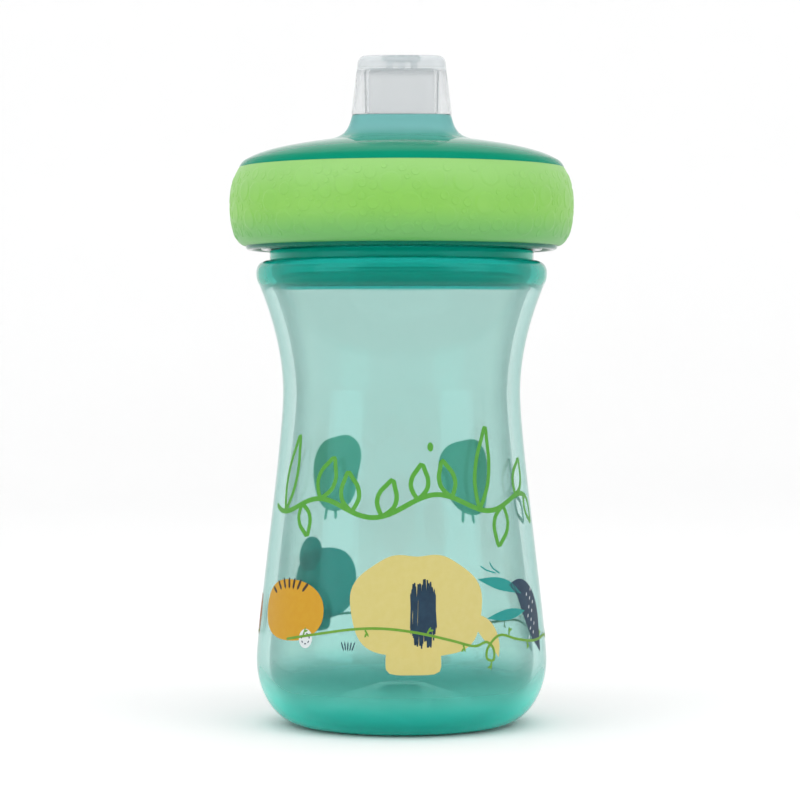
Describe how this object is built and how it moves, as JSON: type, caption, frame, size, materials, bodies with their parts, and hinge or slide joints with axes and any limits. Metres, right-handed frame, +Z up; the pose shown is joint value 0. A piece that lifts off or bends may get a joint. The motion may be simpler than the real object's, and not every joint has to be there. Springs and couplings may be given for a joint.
{
  "type": "soft-spout kids water bottle",
  "caption": "Toddler's hourglass cup with a screw lid, soft grip band, clear silicone spout, snap-in flow valve, vent and rim seal.",
  "frame": {"origin": "middle of the standing ring on the surface it stands on", "axes": "+Z up through the spout, -Y towards the front of the cup, +X along the wide side of the spout"},
  "size_m": [0.085, 0.085, 0.165],
  "materials": {
    "cup_plastic": "clear pale teal moulding, high gloss",
    "lid_plastic": "clear deep teal moulding, high gloss",
    "grip_rubber": "soft satin elastomer with embossed rings",
    "spout_silicone": "clear silicone, satin gloss",
    "valve_silicone": "milky silicone",
    "holder_plastic": "natural polypropylene, low gloss",
    "seal_silicone": "milky silicone",
    "print_ink": "screen-printed ink film on the outside of the cup"
  },
  "bodies": {
    "cup": {"cup_body": "cup_plastic"},
    "seal": {"lid_seal": "seal_silicone"},
    "lid": {"lid_shell": "lid_plastic", "grip_ring": "grip_rubber", "spout": "spout_silicone", "vent_valve": "valve_silicone"},
    "valve": {"valve_holder": "holder_plastic", "flow_valve": "valve_silicone"}
  },
  "joints": [
    {"name": "lid_rise", "type": "slide", "parent": "cup", "child": "seal", "axis": [0, 0, 1], "range_m": [0, 0.03]},
    {"name": "lid_turn", "type": "hinge", "parent": "seal", "child": "lid", "pos_m": [0, 0, 0.13], "axis": [0, 0, 1], "range_deg": [0, 900]},
    {"name": "valve_pull", "type": "slide", "parent": "lid", "child": "valve", "axis": [0, 0, -1], "range_m": [0, 0.016]}
  ],
  "couplings": [
    {"joint": "lid_rise", "follows": "lid_turn", "m_per_rad": 0.0019099}
  ]
}
